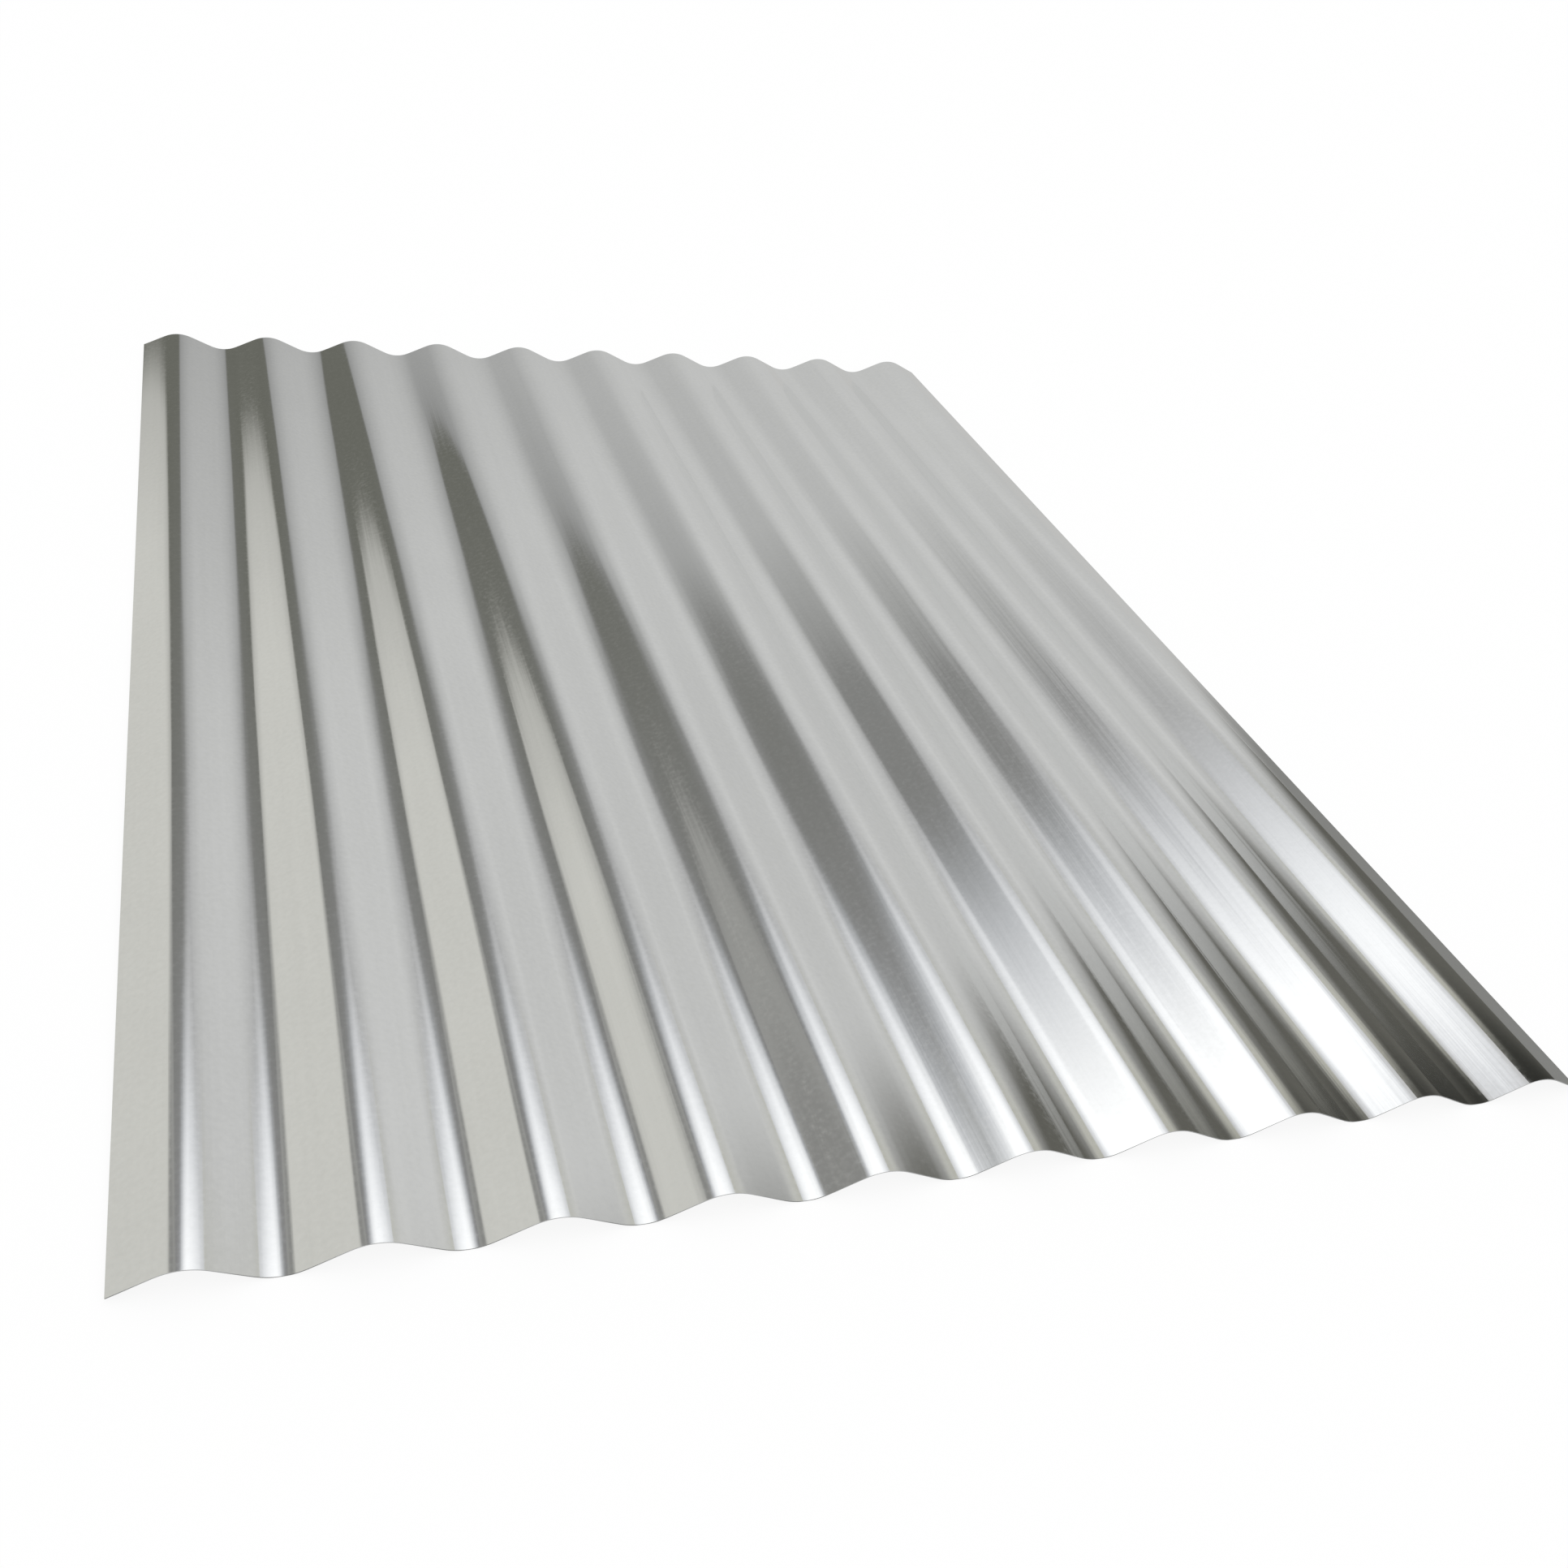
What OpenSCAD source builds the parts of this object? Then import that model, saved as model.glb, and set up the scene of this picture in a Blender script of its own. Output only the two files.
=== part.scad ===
// Corrugated metal sheet: one piece of zinc-coated steel, rolled into even waves.
// The sheet lies flat on its wave bottoms. X runs across the waves, Y along them and Z up.
// The origin is on the floor, under the middle of the sheet.

/* [Sheet] */
// Length of the sheet along its waves
sheet_length = 914.4; // [300:0.1:3660]
// Thickness of the steel with its zinc coating
sheet_thickness = 0.45; // [0.3:0.05:1.2]

/* [Waves] */
// Distance from one crest to the next
wave_pitch = 67.73; // [60:0.01:90]
// Height of the section, from its lowest to its highest point
wave_depth = 11.5; // [8:0.1:15]
// Radius of each bend at the middle of the steel
bend_radius = 22.2; // [10:0.1:27]
// Number of crests across the sheet
crest_count = 10; // [2:1:16]
// Distance from an outer crest to the cut edge beside it
side_lip = 25.4; // [5:0.1:33]

/* [Hidden] */
// Flat steps in half a bend, from its middle to the straight flank
bend_steps = 8;

half_pitch = wave_pitch / 2;
half_thickness = sheet_thickness / 2;
// Rise of the middle of the steel, from a wave bottom to a crest
mid_rise = wave_depth - sheet_thickness;
// Slope of the straight flank that touches the bends above and below it:
// (2 R - rise) cos(slope) + half_pitch sin(slope) = 2 R
bend_diameter = 2 * bend_radius;
flank_base = bend_diameter - mid_rise;
flank_slope = atan2(half_pitch, flank_base)
    - acos(bend_diameter / norm([flank_base, half_pitch]));
// Distance across from the middle of a bend to where its flank starts
bend_reach = bend_radius * sin(flank_slope);

first_crest = -wave_pitch * (crest_count - 1) / 2;

// Drop of a bend below its own middle, at a distance across from there
function bend_drop(across) = bend_radius - sqrt(pow(bend_radius, 2) - pow(across, 2));

// Height of the middle of the steel at a distance across from the nearest crest
function height(across) =
    across <= bend_reach ? mid_rise - bend_drop(across)
    : across >= half_pitch - bend_reach ? bend_drop(half_pitch - across)
    : mid_rise - bend_drop(bend_reach) - (across - bend_reach) * tan(flank_slope);

// Slope of the steel there, falling away from the crest
function slope(across) =
    across <= bend_reach ? asin(across / bend_radius)
    : across >= half_pitch - bend_reach ? asin((half_pitch - across) / bend_radius)
    : flank_slope;

// Stations across half a wave, from a crest down to a wave bottom
half_bend = [for (step = [0 : bend_steps]) bend_radius * sin(flank_slope * step / bend_steps)];
half_wave = concat(half_bend, [for (step = [bend_steps : -1 : 0]) half_pitch - half_bend[step]]);
lip = concat([for (across = half_wave) if (across < side_lip) across], [side_lip]);

// A point on the upper face (face = 1) or the lower face (face = -1) of the steel,
// on one side of a crest (side = 1 is towards +X)
function face_point(crest, side, across, face) = [
    crest + side * (across + face * half_thickness * sin(slope(across))),
    half_thickness + height(across) + face * half_thickness * cos(slope(across))
];

// The points of one side of a crest, in order from -X to +X, without the crest's own point on the +X side
function flank_points(crest, side, stations, face) =
    side > 0
    ? [for (i = [1 : len(stations) - 1]) face_point(crest, side, stations[i], face)]
    : [for (i = [len(stations) - 1 : -1 : 0]) face_point(crest, side, stations[i], face)];

// One face of the section from the -X edge to the +X edge
function face_line(face) = [
    for (i = [0 : crest_count - 1])
        let (
            crest = first_crest + i * wave_pitch,
            rising = i == 0 ? lip : [for (k = [0 : len(half_wave) - 2]) half_wave[k]],
            falling = i == crest_count - 1 ? lip : half_wave
        )
        each concat(flank_points(crest, -1, rising, face), flank_points(crest, 1, falling, face))
];

function reversed(list) = [for (i = [len(list) - 1 : -1 : 0]) list[i]];

// The rolled section: bends and flanks of even thickness, cut square at both side edges
module wave_section() {
    polygon(concat(face_line(-1), reversed(face_line(1))));
}

module corrugated_sheet() {
    color("silver")
        rotate([90, 0, 0])
            linear_extrude(height = sheet_length, center = true)
                wave_section();
}

corrugated_sheet();
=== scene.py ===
"""Looks of a corrugated metal sheet: the rolled steel, its zinc coat and the studio it lies in.

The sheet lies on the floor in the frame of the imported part: X across the waves, Y along them, Z up.
All lengths are in metres and all angles in degrees, unless a name says otherwise.
"""

import logging
from dataclasses import dataclass
from enum import Enum

import bpy
import numpy as np
from mathutils import Matrix, Vector

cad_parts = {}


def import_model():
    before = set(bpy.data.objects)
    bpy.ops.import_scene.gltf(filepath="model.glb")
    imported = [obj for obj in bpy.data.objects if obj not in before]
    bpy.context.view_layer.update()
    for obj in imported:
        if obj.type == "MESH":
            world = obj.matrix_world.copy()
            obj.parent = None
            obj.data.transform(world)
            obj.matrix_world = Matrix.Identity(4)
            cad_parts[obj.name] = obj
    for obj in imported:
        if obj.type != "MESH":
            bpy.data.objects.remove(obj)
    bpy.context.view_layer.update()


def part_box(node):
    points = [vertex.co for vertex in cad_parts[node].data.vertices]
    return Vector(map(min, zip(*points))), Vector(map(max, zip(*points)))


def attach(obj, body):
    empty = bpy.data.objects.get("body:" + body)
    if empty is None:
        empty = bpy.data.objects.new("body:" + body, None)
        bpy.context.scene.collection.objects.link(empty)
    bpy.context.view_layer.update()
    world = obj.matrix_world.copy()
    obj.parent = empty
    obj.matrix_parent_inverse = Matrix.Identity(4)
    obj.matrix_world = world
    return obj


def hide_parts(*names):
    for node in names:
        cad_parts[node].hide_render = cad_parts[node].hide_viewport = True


LOG = logging.getLogger("corrugated_sheet")
SHEET_NODE = "corrugated_sheet"
WHITE = (1.0, 1.0, 1.0, 1.0)
TINY = 1e-9

Array = np.ndarray
Colour = tuple[float, float, float]


def soft_step(value: Array, edge: Array | float, width: Array | float) -> Array:
    """A smooth rise from 0 to 1 across an edge: 3 t^2 - 2 t^3 over the given width, centred on the edge.

    Args:
        value: Where the step is read.
        edge: Where the step is half done.
        width: Distance over which the step rises.

    Returns:
        The step, from 0 to 1, in the shape of value.
    """
    t = np.clip((value - edge) / width + 0.5, 0.0, 1.0)
    return t * t * (3.0 - 2.0 * t)


def mixed(first: Array, second: Array, share: Array) -> Array:
    """Two colour fields mixed: first where share is 0, second where it is 1.

    Args:
        first: Colours with three numbers in the last axis.
        second: Colours with three numbers in the last axis.
        share: The second one's share, without the colour axis.

    Returns:
        The mixed colours.
    """
    return first + (np.asarray(second) - first) * share[..., None]


def grid_faces(rows: int, columns: int, ring: bool = False) -> Array:
    """Corner numbers of the quads of a grid whose points are stored row by row.

    Args:
        rows: Points in the first direction.
        columns: Points in the second direction.
        ring: True if the last column joins the first.

    Returns:
        An array with four corner numbers a quad.
    """
    across = columns if ring else columns - 1
    row, column = np.meshgrid(np.arange(rows - 1), np.arange(across), indexing="ij")
    beside = (column + 1) % columns
    corners = [row * columns + column, row * columns + beside,
               (row + 1) * columns + beside, (row + 1) * columns + column]
    return np.stack(corners, axis=-1).reshape(-1, 4)


def mesh_object(name: str, points: Array, quads: Array, smooth: bool = True) -> bpy.types.Object:
    """A mesh object at the origin, linked to the scene.

    Args:
        name: Name of the object and of its mesh.
        points: Points with three coordinates each.
        quads: Four corner numbers a face.
        smooth: True if the faces are shaded smooth.

    Returns:
        The new object.
    """
    mesh = bpy.data.meshes.new(name)
    mesh.vertices.add(len(points))
    mesh.vertices.foreach_set("co", np.ascontiguousarray(points, dtype=np.float32).ravel())
    mesh.loops.add(quads.size)
    mesh.loops.foreach_set("vertex_index", quads.astype(np.int32).ravel())
    mesh.polygons.add(len(quads))
    mesh.polygons.foreach_set("loop_start", np.arange(0, quads.size, 4, dtype=np.int32))
    mesh.polygons.foreach_set("use_smooth", np.full(len(quads), smooth))
    mesh.update(calc_edges=True)
    mesh.validate()
    obj = bpy.data.objects.new(name, mesh)
    bpy.context.scene.collection.objects.link(obj)
    return obj


class NodeKit:
    """Short ways to add and join the nodes of one material or world."""

    def __init__(self, tree: bpy.types.NodeTree) -> None:
        """Starts with an empty tree."""
        tree.nodes.clear()
        self.tree = tree

    def add(self, kind: str, **values: object) -> bpy.types.Node:
        """Adds a node and sets its properties and inputs.

        Args:
            kind: The node's type name.
            values: Properties by name, and inputs by name with spaces as underscores, or by place as in0.

        Returns:
            The new node.
        """
        node = self.tree.nodes.new(kind)
        for key, value in values.items():
            if hasattr(node, key):
                setattr(node, key, value)
                continue
            place = int(key[2:]) if key.startswith("in") and key[2:].isdigit() else key.replace("_", " ")
            socket = node.inputs[place]
            if isinstance(value, bpy.types.NodeSocket):
                self.tree.links.new(value, socket)
            else:
                socket.default_value = value
        return node

    def math(self, operation: str, first: object, second: object = 0.0) -> bpy.types.NodeSocket:
        """The result of a Math node."""
        return self.add("ShaderNodeMath", operation=operation, in0=first, in1=second).outputs[0]

    def noise(self, place: bpy.types.NodeSocket, scale: float, detail: float) -> bpy.types.NodeSocket:
        """The level of a Noise node at a place."""
        return self.add("ShaderNodeTexNoise", Vector=place, Scale=scale, Detail=detail).outputs[0]

    def blend(self, share: object, first: object, second: object) -> bpy.types.NodeSocket:
        """Two colours mixed by a share."""
        node = self.add("ShaderNodeMix", data_type="RGBA", in0=share, in6=first, in7=second)
        return node.outputs[2]

    def spread(self, value: bpy.types.NodeSocket, start: float, end: float, low: float,
               high: float) -> bpy.types.NodeSocket:
        """A value between start and end spread over low to high, and held there beyond them."""
        node = self.add("ShaderNodeMapRange", Value=value, From_Min=start, From_Max=end,
                        To_Min=low, To_Max=high)
        return node.outputs["Result"]


@dataclass(frozen=True)
class WaveSection:
    """The rolled section: round bends joined by straight flanks that touch them.

    At the middle of the steel, with R the bend radius, h the rise and p the pitch, the flank's slope a
    solves (2 R - h) cos(a) + p / 2 sin(a) = 2 R.
    """

    depth: float
    pitch: float = 0.06773
    bend_radius: float = 0.0222
    thickness: float = 0.00045
    side_lip: float = 0.0254
    crest_count: int = 10
    ease: float = 0.3
    bend_steps: int = 7
    flank_steps: int = 4

    @property
    def rise(self) -> float:
        """Height from a wave bottom to a crest at the middle of the steel."""
        return self.depth - self.thickness

    @property
    def flank_slope(self) -> float:
        """Slope of the straight flank, in radians."""
        base = 2 * self.bend_radius - self.rise
        half = self.pitch / 2
        return np.arctan2(half, base) - np.arccos(2 * self.bend_radius / np.hypot(base, half))

    @property
    def last_crest(self) -> float:
        """Distance across from the middle of the sheet to its outer crests."""
        return self.pitch * (self.crest_count - 1) / 2

    @property
    def bend_reach(self) -> float:
        """Distance across from the middle of a bend to where its flank starts."""
        return self.bend_radius * np.sin(self.flank_slope)

    def stations(self) -> Array:
        """Places across the sheet from edge to edge: even turns in the bends, even steps on the flanks.

        Returns:
            The X of each station, rising.
        """
        turn = np.linspace(0.0, self.flank_slope, self.bend_steps + 1)
        bend = self.bend_radius * np.sin(turn)
        flank = np.linspace(bend[-1], self.pitch / 2 - bend[-1], self.flank_steps + 1)[1:-1]
        half_wave = np.concatenate([bend, flank, self.pitch / 2 - bend[::-1]])
        wave = np.concatenate([-half_wave[:0:-1], half_wave[:-1]])
        crests = np.linspace(-self.last_crest, self.last_crest, self.crest_count)
        across = (crests[:, None] + wave[None, :]).ravel()
        edge = self.last_crest + self.side_lip
        inside = across[np.abs(across) < edge - self.thickness]
        return np.concatenate([[-edge], inside, [edge]])

    def from_crest(self, across: Array) -> Array:
        """Signed distance from the nearest crest, for places across the sheet."""
        nearest = np.clip(np.rint((across + self.last_crest) / self.pitch), 0, self.crest_count - 1)
        return across + self.last_crest - nearest * self.pitch

    def height(self, across: Array) -> Array:
        """Height of the middle of the steel over the floor: circle, straight line, circle.

        Springing back from the rolls eases that line a little towards a cosine wave.

        Args:
            across: Places across the sheet.

        Returns:
            The heights there.
        """
        off = np.abs(self.from_crest(across))
        radius, reach, half = self.bend_radius, self.bend_reach, self.pitch / 2
        top = self.rise - radius + np.sqrt(radius**2 - np.minimum(off, reach) ** 2)
        low = radius - np.sqrt(radius**2 - np.minimum(np.abs(half - off), reach) ** 2)
        start = self.rise - radius + np.sqrt(radius**2 - reach**2)
        line = start - (off - reach) * np.tan(self.flank_slope)
        rolled = np.where(off <= reach, top, np.where(off >= half - reach, low, line))
        wave = self.rise / 2 * (1 + np.cos(np.pi * off / half))
        return rolled + (wave - rolled) * self.ease + self.thickness / 2

    def slope(self, across: Array) -> Array:
        """Slope of the steel in radians, rising towards +X.

        It is the angle whose sine is the distance from a bend's middle over the bend radius, held on the
        flanks, and eased towards the cosine wave as the height is.

        Args:
            across: Places across the sheet.

        Returns:
            The slopes there.
        """
        away = self.from_crest(across)
        off, half = np.abs(away), self.pitch / 2
        bend = np.minimum(np.minimum(off, np.abs(half - off)), self.bend_reach)
        rolled = np.tan(np.arcsin(bend / self.bend_radius))
        wave = self.rise / 2 * np.pi / half * np.sin(np.pi * off / half)
        return -np.sign(away) * np.arctan(rolled + (wave - rolled) * self.ease)


class CutEnd(Enum):
    """The two ends of the sheet that the shears cut."""

    NEAR = "near"
    FAR = "far"


@dataclass(frozen=True)
class Ripple:
    """A plane wave over the sheet: its wavelengths along and across, its phase in radians and its share."""

    along: float
    across: float
    phase: float
    share: float

    def at(self, x: Array, y: Array) -> Array:
        """The share times sin(2 pi (y / along + x / across) + phase)."""
        return self.share * np.sin(2 * np.pi * (y / self.along + x / self.across) + self.phase)


@dataclass(frozen=True)
class ZincCoat:
    """Bright zinc on rolled steel: a fine grain, faint lines along the rolling and duller cut edges.

    The lines are stronger on the right third of the sheet.
    """

    bright: Colour = (0.955, 0.96, 0.96)
    dull: Colour = (0.76, 0.765, 0.76)
    cut: Colour = (0.66, 0.665, 0.67)
    roughness_low: float = 0.06
    roughness_high: float = 0.15
    cut_roughness: float = 0.35
    grain_size: float = 0.0026
    grain_detail: float = 2.0
    grain_share: float = 0.5
    grain_low: float = 0.42
    grain_high: float = 0.78
    grain_height: float = 0.0000045
    streak_width: float = 0.0045
    streak_length: float = 0.4
    streak_detail: float = 3.0
    streak_share: float = 0.3
    streak_height: float = 0.00003
    streak_growth: float = 5.0
    streak_from: float = 0.02
    streak_to: float = 0.22
    cloud_size: float = 0.06
    cloud_detail: float = 2.0
    cloud_share: float = 0.2

    def material(self) -> bpy.types.Material:
        """The coat as a node material on Object coordinates, with the cut faces marked by an attribute.

        Returns:
            The new material.
        """
        material = bpy.data.materials.new("zinc_coat")
        material.use_nodes = True
        kit = NodeKit(material.node_tree)
        place = kit.add("ShaderNodeTexCoord").outputs["Object"]
        grain = kit.noise(place, 1 / self.grain_size, self.grain_detail)
        stretch = (1 / self.streak_width, 1 / self.streak_length, 0.0)
        lengthwise = kit.add("ShaderNodeVectorMath", operation="MULTIPLY", in0=place, in1=stretch).outputs[0]
        streak = kit.noise(lengthwise, 1.0, self.streak_detail)
        cloud = kit.noise(place, 1 / self.cloud_size, self.cloud_detail)
        shade = kit.math("ADD", kit.math("MULTIPLY", grain, self.grain_share),
                         kit.math("MULTIPLY", streak, self.streak_share))
        shade = kit.math("ADD", shade, kit.math("MULTIPLY", cloud, self.cloud_share))
        cut = kit.add("ShaderNodeAttribute", attribute_name="cut").outputs["Fac"]
        zinc = kit.blend(shade, (*self.dull, 1.0), (*self.bright, 1.0))
        colour = kit.blend(cut, zinc, (*self.cut, 1.0))
        sheen = kit.spread(grain, self.grain_low, self.grain_high, self.roughness_low, self.roughness_high)
        rough = kit.add("ShaderNodeMix", data_type="FLOAT", in0=cut, in2=sheen, in3=self.cut_roughness)
        across = kit.add("ShaderNodeSeparateXYZ", Vector=place).outputs[0]
        growth = kit.spread(across, self.streak_from, self.streak_to, 1.0, self.streak_growth)
        lines = kit.math("MULTIPLY", kit.math("MULTIPLY", streak, self.streak_height), growth)
        relief = kit.math("ADD", kit.math("MULTIPLY", grain, self.grain_height), lines)
        bump = kit.add("ShaderNodeBump", Strength=1.0, Distance=1.0, Height=relief).outputs[0]
        bsdf = kit.add("ShaderNodeBsdfPrincipled", Base_Color=colour, Metallic=1.0,
                       Roughness=rough.outputs[0], Normal=bump)
        kit.add("ShaderNodeOutputMaterial", Surface=bsdf.outputs[0])
        return material


@dataclass
class CorrugatedSheet:
    """The sheet itself: the section carried along the length, with its thickness and square-cut ends."""

    section: WaveSection
    length: float
    coat: ZincCoat
    rows: int = 121
    sway: float = 0.0003
    sway_ripples: tuple[Ripple, ...] = (Ripple(along=0.43, across=0.71, phase=0.7, share=0.6),
                                        Ripple(along=0.19, across=-0.37, phase=2.1, share=0.4))
    sag: float = 0.012
    sag_ripples: tuple[Ripple, ...] = (Ripple(along=0.37, across=-0.53, phase=1.9, share=0.6),
                                       Ripple(along=0.15, across=0.29, phase=4.0, share=0.4))

    def build(self) -> bpy.types.Object:
        """The closed mesh: a ring of upper and lower points at each row along Y, and a strip across each end.

        Each point is the middle of the steel plus or minus half its thickness along (-sin(a), 0, cos(a)),
        with a the slope there.

        Returns:
            The sheet's object, dressed.
        """
        across = self.section.stations()
        height, slope = self.section.height(across), self.section.slope(across)
        half = self.section.thickness / 2
        upper = np.stack([across - half * np.sin(slope), height + half * np.cos(slope)], axis=-1)
        lower = np.stack([across + half * np.sin(slope), height - half * np.cos(slope)], axis=-1)
        ring = np.concatenate([lower, upper[::-1]])
        along = np.linspace(-self.length / 2, self.length / 2, self.rows)
        points = np.empty((self.rows, len(ring), 3))
        points[..., 0] = ring[None, :, 0]
        points[..., 1] = along[:, None]
        points[..., 2] = ring[None, :, 1]
        ends = [self.end_strip(len(across), end) for end in CutEnd]
        quads = np.concatenate([grid_faces(self.rows, len(ring), ring=True), *ends])
        sheet = mesh_object("sheet_steel", self.flexed(points).reshape(-1, 3), quads)
        self.mark_cuts(sheet, len(across))
        sheet.data.materials.append(self.coat.material())
        return sheet

    def flexed(self, points: Array) -> Array:
        """Thin steel is never quite true: the waves sway a little sideways and their depth varies a little.

        The sway is a sum of ripples that fades to nothing at the sides, and the depth is scaled by
        1 - sag (1 + a sum of ripples) / 2, so that no point leaves the section's own box.

        Args:
            points: Rows of points of the true sheet.

        Returns:
            The points moved.
        """
        x, y, z = points[..., 0], points[..., 1], points[..., 2]
        side = 1 - (x / np.abs(x).max()) ** 2
        swing = sum(ripple.at(x, y) for ripple in self.sway_ripples)
        swell = sum(ripple.at(x, y) for ripple in self.sag_ripples)
        moved = points.copy()
        moved[..., 0] = x + self.sway * side * swing
        moved[..., 2] = z * (1 - self.sag * (1 + swell) / 2)
        return moved

    def end_strip(self, stations: int, end: CutEnd) -> Array:
        """Quads that close one cut end, between the lower and the upper points of its row.

        Args:
            stations: Points across one face.
            end: Which end.

        Returns:
            Four corner numbers a quad.
        """
        ring = 2 * stations
        start = 0 if end is CutEnd.NEAR else (self.rows - 1) * ring
        lower = start + np.arange(stations)
        upper = start + ring - 1 - np.arange(stations)
        quads = np.stack([lower[:-1], upper[:-1], upper[1:], lower[1:]], axis=-1)
        return quads[:, ::-1] if end is CutEnd.NEAR else quads

    def mark_cuts(self, sheet: bpy.types.Object, stations: int) -> None:
        """Marks the faces of the cuts for the coat, and their edges as sharp, so that the cuts stay crisp.

        Args:
            sheet: The sheet's object.
            stations: Points across one face.
        """
        mesh = sheet.data
        ring = 2 * stations
        ends = np.empty(2 * len(mesh.edges), dtype=np.int32)
        mesh.edges.foreach_get("vertices", ends)
        first, second = ends.reshape(-1, 2).T
        corner = np.isin(np.arange(ring), [0, stations - 1, stations, ring - 1])
        along_cut = corner[first % ring] & corner[second % ring] & (first // ring != second // ring)
        in_end = (first // ring == second // ring) & np.isin(first // ring, [0, self.rows - 1])
        sharp = mesh.attributes.new("sharp_edge", "BOOLEAN", "EDGE")
        sharp.data.foreach_set("value", along_cut | in_end)
        face = np.arange(len(mesh.polygons))
        body = (self.rows - 1) * ring
        cut = (face >= body) | np.isin(face % ring, [stations - 1, ring - 1])
        attribute = mesh.attributes.new("cut", "FLOAT", "FACE")
        attribute.data.foreach_set("value", cut.astype(np.float32))


@dataclass(frozen=True)
class Tones:
    """Levels of light that the steel mirrors."""

    grey: Colour = (0.611, 0.614, 0.606)
    grey_edge: Colour = (0.29, 0.292, 0.288)
    far_grey: Colour = (0.623, 0.623, 0.625)
    warm: Colour = (0.646, 0.643, 0.604)
    dark: Colour = (0.153, 0.155, 0.134)
    dark_high: Colour = (0.298, 0.298, 0.3)
    dim: Colour = (0.337, 0.337, 0.323)
    dim_left: Colour = (0.276, 0.276, 0.265)
    flag: Colour = (0.127, 0.125, 0.11)
    flag_high: Colour = (0.52, 0.515, 0.453)
    flag_back: Colour = (0.42, 0.42, 0.41)
    deep: Colour = (0.034, 0.034, 0.03)
    light: Colour = (1.696, 1.696, 1.68)
    apron: Colour = (0.56, 0.56, 0.549)
    apron_near: Colour = (0.25, 0.25, 0.24)
    apron_front: Colour = (0.95, 0.95, 0.95)


class Surround:
    """A base for the surfaces that only the steel's reflections see."""

    name: str
    tones: Tones

    def show(self, points: Array, colour: Array, cover: Array, ring: bool = False) -> bpy.types.Object:
        """A glowing grid that only glossy rays see, without the faces that cover nothing.

        Args:
            points: Its points, in rows.
            colour: Its light at each point.
            cover: How much it covers what lies behind, at each point.
            ring: True if the rows are closed.

        Returns:
            The new object.
        """
        quads = grid_faces(points.shape[0], points.shape[1], ring)
        quads = quads[cover.ravel()[quads].max(axis=1) > 0.0]
        obj = mesh_object(self.name, points.reshape(-1, 3), quads)
        paint = obj.data.attributes.new("glow", "FLOAT_COLOR", "POINT")
        rgba = np.concatenate([colour.reshape(-1, 3), np.ones((colour.size // 3, 1))], axis=1)
        paint.data.foreach_set("color", rgba.astype(np.float32).ravel())
        veil = obj.data.attributes.new("cover", "FLOAT", "POINT")
        veil.data.foreach_set("value", cover.astype(np.float32).ravel())
        obj.data.materials.append(self.material())
        obj.visible_camera = obj.visible_diffuse = obj.visible_shadow = False
        obj.visible_transmission = obj.visible_volume_scatter = False
        return obj

    def material(self) -> bpy.types.Material:
        """Light from the points' own colours, clear where they cover nothing.

        Returns:
            The new material.
        """
        material = bpy.data.materials.new(self.name)
        material.use_nodes = True
        kit = NodeKit(material.node_tree)
        glow = kit.add("ShaderNodeAttribute", attribute_name="glow").outputs["Color"]
        cover = kit.add("ShaderNodeAttribute", attribute_name="cover").outputs["Fac"]
        light = kit.add("ShaderNodeEmission", Color=glow, Strength=1.0).outputs[0]
        clear = kit.add("ShaderNodeBsdfTransparent").outputs[0]
        mix = kit.add("ShaderNodeMixShader", in0=cover, in1=clear, in2=light)
        kit.add("ShaderNodeOutputMaterial", Surface=mix.outputs[0])
        material.cycles.emission_sampling = "NONE"
        return material


def flat_tone(colour: Colour, like: Array) -> Array:
    """One colour at every place of a field."""
    return np.broadcast_to(np.array(colour), (*like.shape, 3))


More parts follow.
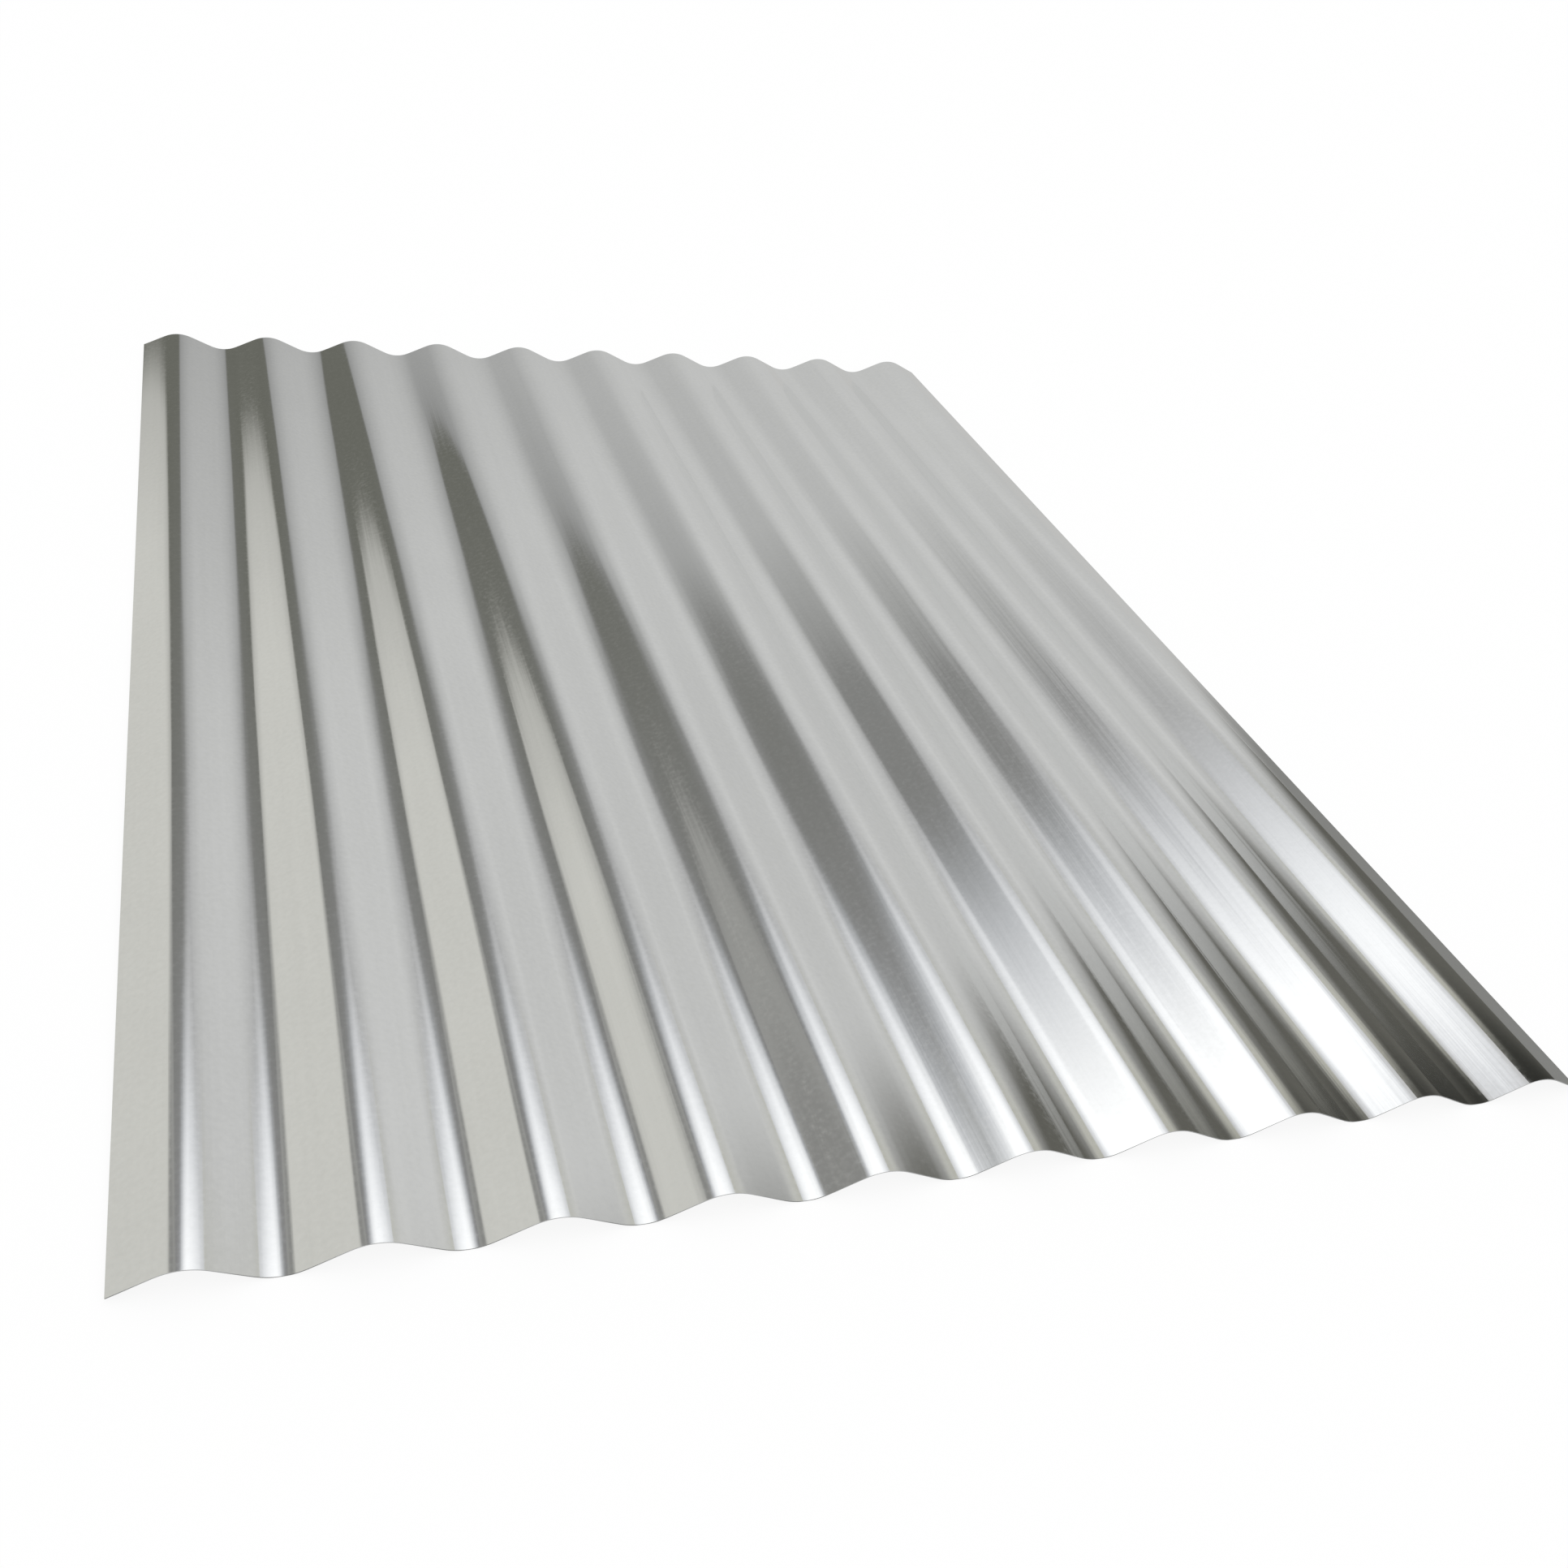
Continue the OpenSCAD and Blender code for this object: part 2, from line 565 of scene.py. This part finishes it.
@dataclass
class FarRoom(Surround):
    """The far surround: a dome read by azimuth from +Y towards +X and by elevation."""

    tones: Tones
    name: str = "far_room"
    radius: float = 3.058
    azimuth_steps: int = 540
    elevation_steps: int = 150
    lowest: float = -10.0
    dark_rise: float = 41.752
    dark_width: float = 56.048
    gap_edge: float = 4.563
    gap_lean: float = -0.398
    gap_pivot: float = 40.0
    gap_width: float = 17.351
    warm_edge: float = -20.721
    warm_lean: float = 0.001
    warm_curve: float = -0.006
    warm_pivot: float = 20.0
    warm_width: float = 3.0
    warm_start: float = 0.79
    warm_ramp: float = 8.08
    warm_top: float = 38.4
    warm_tilt: float = 0.806
    tilt_pivot: float = -27.0
    tilt_end: float = -45.0
    warm_top_width: float = 9.165
    dim_edge: float = -31.543
    dim_width: float = 7.235
    back_gap: float = 165.0
    back_width: float = 16.0

    def build(self) -> bpy.types.Object:
        """The dome, radius times (cos e sin a, cos e cos a, sin e), with its tones.

        Returns:
            The dome's object.
        """
        azimuth, elevation = np.meshgrid(
            np.linspace(-180.0, 180.0, self.azimuth_steps + 1)[:-1],
            np.linspace(self.lowest, 90.0, self.elevation_steps), indexing="xy")
        a, e = np.radians(azimuth), np.radians(elevation)
        points = self.radius * np.stack([np.cos(e) * np.sin(a), np.cos(e) * np.cos(a), np.sin(e)], axis=-1)
        return self.show(points, self.tone(azimuth, elevation), np.ones(azimuth.shape), ring=True)

    def tone(self, azimuth: Array, elevation: Array) -> Array:
        """Light by direction: dark ahead and behind, warm to the left, grey to the right.

        High on the left it is dim. Each edge is a line or a parabola in azimuth and elevation, about the
        pivot that its name gives.

        Args:
            azimuth: Degrees from +Y towards +X.
            elevation: Degrees above the floor.

        Returns:
            Colours in the shape of azimuth.
        """
        tones = self.tones
        dark = mixed(flat_tone(tones.dark, azimuth), flat_tone(tones.dark_high, azimuth),
                     soft_step(elevation, self.dark_rise, self.dark_width))
        gap = self.gap_edge + self.gap_lean * (elevation - self.gap_pivot)
        field = mixed(dark, flat_tone(tones.far_grey, azimuth), soft_step(azimuth, gap, self.gap_width))
        over = elevation - self.warm_pivot
        past = self.warm_edge + self.warm_lean * over + self.warm_curve * over**2 - azimuth
        ramp = soft_step(past, self.warm_ramp / 2, self.warm_ramp)
        warm = flat_tone(tones.warm, azimuth) * (self.warm_start + (1 - self.warm_start) * ramp)[..., None]
        tilt = self.warm_tilt * (np.maximum(azimuth, self.tilt_end) - self.tilt_pivot)
        dim = mixed(flat_tone(tones.dim, azimuth), flat_tone(tones.dim_left, azimuth),
                    soft_step(-azimuth, -self.dim_edge, self.dim_width))
        warm = mixed(warm, dim, soft_step(elevation + tilt, self.warm_top, self.warm_top_width))
        field = mixed(field, warm, soft_step(past, 0.0, self.warm_width))
        return mixed(field, dark, soft_step(np.abs(azimuth), self.back_gap, self.back_width))


@dataclass
class LightPanel(Surround):
    """A white panel that hangs level above the sheet and the camera."""

    tones: Tones
    name: str = "light_panel"
    height: float = 1.054
    far: float = 0.381
    lean: float = -0.099
    far_feather: float = 1.192
    left: float = -0.359
    left_lean: float = 0.145
    left_feather: float = 0.277
    tint: float = 0.1
    dim_share: float = 0.273
    dim_from: float = 0.497
    dim_width: float = 0.456
    cut: float = 0.014
    cut_lean: float = 1.403
    cut_feather: float = 0.645
    right: float = 1.8
    near: float = -1.8
    step: float = 0.03

    def build(self) -> bpy.types.Object:
        """The panel as a level grid at its height, dimmer to the right and cut slantwise at its near right.

        Where it covers little its light is cooler: red falls by tint / 2 and blue rises by tint, both times
        (1 - cover)^2.

        Returns:
            The panel's object.
        """
        reach = abs(self.left_lean * self.near) + self.left_feather
        across = np.arange(self.left - reach, self.right, self.step)
        along = np.arange(self.near, self.far + self.far_feather - self.lean, self.step)
        x, y = np.meshgrid(across, along, indexing="xy")
        points = np.stack([x, y, np.full(x.shape, self.height)], axis=-1)
        cover = 1 - soft_step(y, self.far + self.lean * x, self.far_feather)
        cover = cover * soft_step(x, self.left + self.left_lean * y, self.left_feather)
        cover = cover * (1 - soft_step(x, self.cut + self.cut_lean * y, self.cut_feather))
        cool = np.array([-self.tint / 2, 0.0, self.tint]) * ((1 - cover) ** 2)[..., None]
        level = 1 - self.dim_share * soft_step(x, self.dim_from, self.dim_width)
        return self.show(points, flat_tone(self.tones.light, x) * (1 + cool) * level[..., None], cover)


@dataclass
class GreyScreen(Surround):
    """A light grey screen that stands ahead of the sheet, with a rounded top left corner, darker at its edge.

    Its edge is the superellipse (u / a)^n + (v / b)^n = 1, with u to the left of and v above the corner's
    middle, and its top rises to the right.
    """

    tones: Tones
    name: str = "grey_screen"
    distance: float = 1.015
    corner_x: float = 0.448
    corner_z: float = 0.016
    reach_left: float = 0.742
    reach_up: float = 0.931
    roundness: float = 3.15
    top_rise: float = 0.797
    side_feather: float = 0.02
    top_feather: float = 1.197
    feather_growth: float = 1.5
    growth_from: float = -0.15
    corner_power: float = 1.398
    ramp: float = 0.477
    ramp_growth: float = 0.356
    ramp_power: float = 0.572
    lift: float = 0.143
    lift_pivot: float = 0.4
    left_margin: float = 1.2
    right: float = 2.6
    top: float = 2.6
    step: float = 0.01

    def build(self) -> bpy.types.Object:
        """The screen as an upright grid at its distance along Y.

        Its edge is crisp at the side and soft at the top, and softer still to the right. From the edge
        inwards it lightens by a power of the distance, and it lightens a little as it rises.

        Returns:
            The screen's object.
        """
        across = np.arange(self.corner_x - self.left_margin * self.reach_left, self.right, self.step)
        up = np.arange(0.0, self.top, self.step)
        x, z = np.meshgrid(across, up, indexing="xy")
        points = np.stack([x, np.full(x.shape, self.distance), z], axis=-1)
        inside, top = self.inside(x, z)
        away = np.clip(x - self.growth_from, 0.0, 1.0)
        share = np.clip(inside / (self.ramp + self.ramp_growth * away), 0.0, 1.0) ** self.ramp_power
        colour = mixed(flat_tone(self.tones.grey_edge, x), flat_tone(self.tones.grey, x), share)
        colour = colour * (1 + self.lift * (z - self.lift_pivot))[..., None]
        soft = self.top_feather + self.feather_growth * away
        feather = self.side_feather + (soft - self.side_feather) * top**self.corner_power
        cover = soft_step(inside, 0.0, feather)
        return self.show(points, colour, cover)

    def inside(self, x: Array, z: Array) -> tuple[Array, Array]:
        """Distance inside the screen's edge, and how far that edge is its top rather than its side.

        Args:
            x: Places across.
            z: Heights.

        Returns:
            The distance, less than 0 outside, and the top's share from 0 to 1.
        """
        above = z - self.corner_z - self.top_rise * np.maximum(x, 0.0)
        side = (np.maximum(self.corner_x - x, 0.0) / self.reach_left) ** self.roundness
        top = (np.maximum(above, 0.0) / self.reach_up) ** self.roundness
        both = side + top + TINY
        share = top / both
        reach = self.reach_left + (self.reach_up - self.reach_left) * share
        return (1 - both ** (1 / self.roundness)) * reach, share


@dataclass
class DarkFlag(Surround):
    """A dark upright board close to the right of the sheet, whose far edge leans forward as it rises."""

    tones: Tones
    name: str = "dark_flag"
    distance: float = 0.537
    near: float = -1.6
    far: float = 0.05
    far_lean: float = -0.42
    far_curve: float = 1.031
    far_feather: float = 0.16
    feather_growth: float = 0.695
    top: float = 1.049
    high_middle: float = 0.508
    high_width: float = 0.329
    deep_start: float = -0.34
    deep_lean: float = 0.485
    deep_width: float = 0.16
    back_middle: float = -0.65
    back_width: float = 0.25
    step: float = 0.01

    def build(self) -> bpy.types.Object:
        """The board as an upright grid at its distance along X, lighter as it rises, with a slanting shade.

        Its far edge is at y = far + far_lean z + far_curve z^2, and the shade starts at y = deep_start +
        deep_lean z. Well behind the sheet's near end the board is light again.

        Returns:
            The board's object.
        """
        reach = self.far_lean * self.top + self.far_curve * self.top**2
        reach = reach + (self.far_feather + self.feather_growth * self.top) / 2
        along = np.arange(self.near, self.far + reach, self.step)
        up = np.arange(0.0, self.top, self.step)
        y, z = np.meshgrid(along, up, indexing="xy")
        points = np.stack([np.full(y.shape, self.distance), y, z], axis=-1)
        colour = mixed(flat_tone(self.tones.flag, y), flat_tone(self.tones.flag_high, y),
                       soft_step(z, self.high_middle, self.high_width))
        shade = soft_step(self.deep_start + self.deep_lean * z - y, 0.0, self.deep_width)
        colour = mixed(colour, flat_tone(self.tones.deep, y), shade)
        back = soft_step(-y, -self.back_middle, self.back_width)
        colour = mixed(colour, flat_tone(self.tones.flag_back, y), back)
        edge = self.far + self.far_lean * z + self.far_curve * z**2
        cover = 1 - soft_step(y, edge, self.far_feather + self.feather_growth * z)
        return self.show(points, colour, cover)


@dataclass
class Apron(Surround):
    """What the steel mirrors of the floor: darker towards the near end, and light in front of it."""

    tones: Tones
    name: str = "apron"
    half_size: float = 3.0
    ramp_middle: float = -0.085
    ramp_width: float = 0.15
    front: float = -0.465
    front_feather: float = 0.02
    front_rows: int = 9
    level: float = 0.0002
    step: float = 0.05

    def build(self) -> bpy.types.Object:
        """The apron as a level grid on the floor, with finer rows where its front begins.

        Returns:
            The apron's object.
        """
        side = np.arange(-self.half_size, self.half_size + self.step, self.step)
        fine = self.front + np.linspace(-0.5, 0.5, self.front_rows) * self.front_feather
        x, y = np.meshgrid(side, np.sort(np.concatenate([side, fine])), indexing="xy")
        points = np.stack([x, y, np.full(x.shape, self.level)], axis=-1)
        share = soft_step(-y, -self.ramp_middle, self.ramp_width)
        colour = mixed(flat_tone(self.tones.apron, x), flat_tone(self.tones.apron_near, x), share)
        ahead = soft_step(-y, -self.front, self.front_feather)
        colour = mixed(colour, flat_tone(self.tones.apron_front, x), ahead)
        return self.show(points, colour, np.ones(x.shape))


@dataclass(frozen=True)
class Floor:
    """A plain pale floor that is white to the camera and keeps a faint shadow."""

    half_size: float = 14.0
    colour: Colour = (0.98, 0.98, 0.98)
    white_share: float = 0.88

    def build(self) -> bpy.types.Object:
        """The floor at the height the sheet lies on.

        Returns:
            The floor's object.
        """
        side = np.array([-self.half_size, self.half_size])
        x, y = np.meshgrid(side, side, indexing="xy")
        points = np.stack([x, y, np.zeros(x.shape)], axis=-1).reshape(-1, 3)
        floor = mesh_object("floor", points, grid_faces(2, 2), smooth=False)
        material = bpy.data.materials.new("floor")
        material.use_nodes = True
        kit = NodeKit(material.node_tree)
        path = kit.add("ShaderNodeLightPath")
        seen = kit.math("MAXIMUM", path.outputs["Is Camera Ray"], path.outputs["Is Glossy Ray"])
        seen = kit.math("MAXIMUM", seen, path.outputs["Is Transmission Ray"])
        share = kit.math("MULTIPLY", seen, self.white_share)
        plain = kit.add("ShaderNodeBsdfDiffuse", Color=(*self.colour, 1.0)).outputs[0]
        white = kit.add("ShaderNodeEmission", Color=WHITE, Strength=1.0).outputs[0]
        mix = kit.add("ShaderNodeMixShader", in0=share, in1=plain, in2=white)
        kit.add("ShaderNodeOutputMaterial", Surface=mix.outputs[0])
        material.cycles.emission_sampling = "NONE"
        floor.data.materials.append(material)
        return floor


@dataclass(frozen=True)
class PhotoCamera:
    """The camera, as it stood to the sheet: its place, its view and its roll."""

    place: tuple[float, float, float] = (-0.27614, -0.84692, 0.49701)
    right: tuple[float, float, float] = (0.94469, -0.2922, 0.14895)
    up: tuple[float, float, float] = (0.05028, 0.57782, 0.81461)
    lens_mm: float = 36.414
    sensor_mm: float = 36.0
    clip_start: float = 0.01
    clip_end: float = 100.0

    def build(self) -> bpy.types.Object:
        """The scene's camera.

        Returns:
            The camera's object.
        """
        camera = bpy.data.cameras.new("camera")
        camera.lens, camera.sensor_width = self.lens_mm, self.sensor_mm
        camera.clip_start, camera.clip_end = self.clip_start, self.clip_end
        obj = bpy.data.objects.new("camera", camera)
        bpy.context.scene.collection.objects.link(obj)
        right, up = Vector(self.right).normalized(), Vector(self.up)
        back = right.cross(up).normalized()
        up = back.cross(right)
        turn = Matrix((right, up, back)).transposed().to_4x4()
        obj.matrix_world = Matrix.Translation(self.place) @ turn
        bpy.context.scene.camera = obj
        return obj


def light_world() -> None:
    """A plain white world of strength 1, which lights the floor evenly."""
    world = bpy.data.worlds.new("world")
    bpy.context.scene.world = world
    world.use_nodes = True
    kit = NodeKit(world.node_tree)
    plain = kit.add("ShaderNodeBackground", Color=WHITE, Strength=1.0)
    kit.add("ShaderNodeOutputWorld", Surface=plain.outputs[0])


def main() -> None:
    """Builds the sheet and its studio, in order."""
    logging.basicConfig(level=logging.INFO, format="%(name)s: %(message)s")
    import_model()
    low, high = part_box(SHEET_NODE)

    bpy.context.scene.view_settings.view_transform = "Standard"
    PhotoCamera().build()
    light_world()
    tones = Tones()
    surround = [FarRoom(tones), LightPanel(tones), GreyScreen(tones), DarkFlag(tones), Apron(tones)]
    for maker in [Floor(), *surround]:
        LOG.info("stage: %s", maker.build().name)

    section = WaveSection(depth=high[2] - low[2])
    sheet = CorrugatedSheet(section, length=high[1] - low[1], coat=ZincCoat()).build()
    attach(sheet, "root")
    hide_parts(SHEET_NODE)
    LOG.info("piece: %s, %d faces", sheet.name, len(sheet.data.polygons))


if __name__ == "__main__":
    main()
